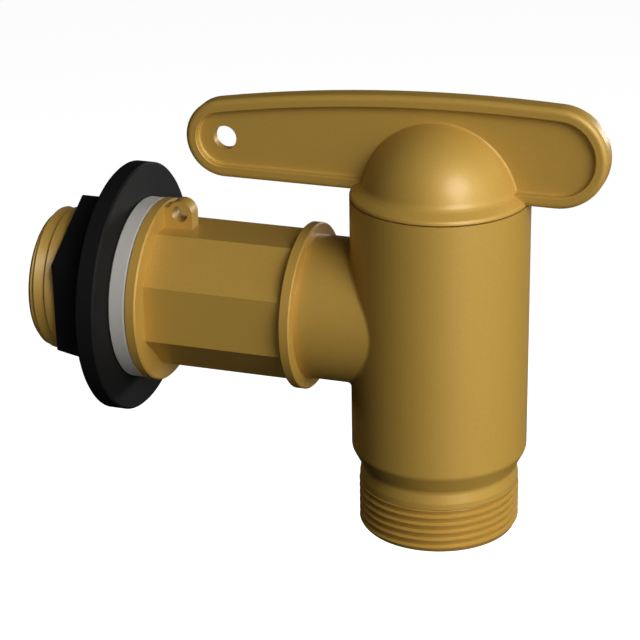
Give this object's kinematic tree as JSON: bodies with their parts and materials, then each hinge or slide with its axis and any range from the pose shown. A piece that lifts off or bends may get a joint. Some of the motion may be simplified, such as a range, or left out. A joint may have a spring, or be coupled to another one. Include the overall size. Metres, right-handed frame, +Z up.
{
  "type": "water butt tap",
  "caption": "Lever tap for a rainwater butt: threaded inlet with washer and flanged back nut, upright barrel with a quarter-turn lever on a dome, threaded outlet below.",
  "frame": {"origin": "on the inlet's axis, in the plane where the body's flange seats on the washer", "axes": "+X from the wall of the butt towards the barrel, +Z up; the outlet points to -Z, and the lever's long arm points to -X when the tap is shut"},
  "size_m": [0.0949, 0.042, 0.0734],
  "materials": {
    "gold_plastic": "satin, metallic pigment",
    "plug_plastic": "satin",
    "seal_rubber": "matte",
    "spring_steel": "satin",
    "grey_rubber": "matte",
    "black_plastic": "matte"
  },
  "bodies": {
    "tap": {"body": "gold_plastic", "thrust_washer": "plug_plastic", "stem_bush": "plug_plastic", "retaining_clip": "spring_steel", "flange_washer": "grey_rubber"},
    "lever": {"handle": "gold_plastic", "valve_plug": "plug_plastic", "port_seal": "seal_rubber", "upper_o_ring": "seal_rubber", "lower_o_ring": "seal_rubber"},
    "nut": {"back_nut": "black_plastic"}
  },
  "joints": [
    {"name": "lever_turn", "type": "hinge", "parent": "tap", "child": "lever", "pos_m": [0.04885, 0, 0], "axis": [0, 0, 1], "range_deg": [0, 90]},
    {"name": "nut_turn", "type": "hinge", "parent": "tap", "child": "nut", "pos_m": [0, 0, 0], "axis": [-1, 0, 0], "continuous": true}
  ]
}
